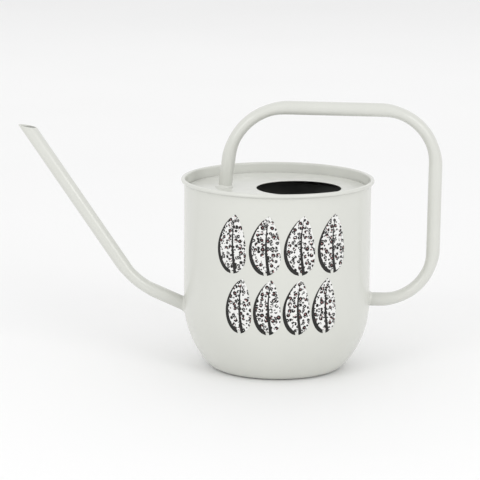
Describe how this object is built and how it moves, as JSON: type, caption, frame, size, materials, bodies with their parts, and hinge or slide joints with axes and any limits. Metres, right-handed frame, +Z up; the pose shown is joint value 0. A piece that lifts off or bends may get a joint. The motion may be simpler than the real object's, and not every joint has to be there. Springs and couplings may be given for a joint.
{
  "type": "watering can",
  "caption": "Indoor watering can with a round-bottomed cup body, a recessed cover with a fill hole, a long bent spout and a bent tube handle.",
  "frame": {"origin": "centre of the flat base, on the body axis, at the surface the can stands on", "axes": "+Z up along the body axis, -X towards the spout's mouth, +X towards the handle's upright, Y across the can"},
  "size_m": [0.3105, 0.1418, 0.1978],
  "materials": {
    "body_paint": "cream white powder coat, satin gloss, slightly uneven film",
    "tube_paint": "cream white powder coat over tube and welds, satin gloss",
    "bare_steel": "plain steel wire and solder, hidden inside the rim and the tank"
  },
  "bodies": {
    "root": {"body_shell": "body_paint", "rim_wire": "bare_steel", "cover_plate": "body_paint", "cover_seam_bead": "bare_steel", "spout_tube": "tube_paint", "spout_weld": "tube_paint", "handle_tube": "tube_paint", "handle_foot_weld": "tube_paint", "handle_end_weld": "tube_paint"}
  },
  "joints": []
}
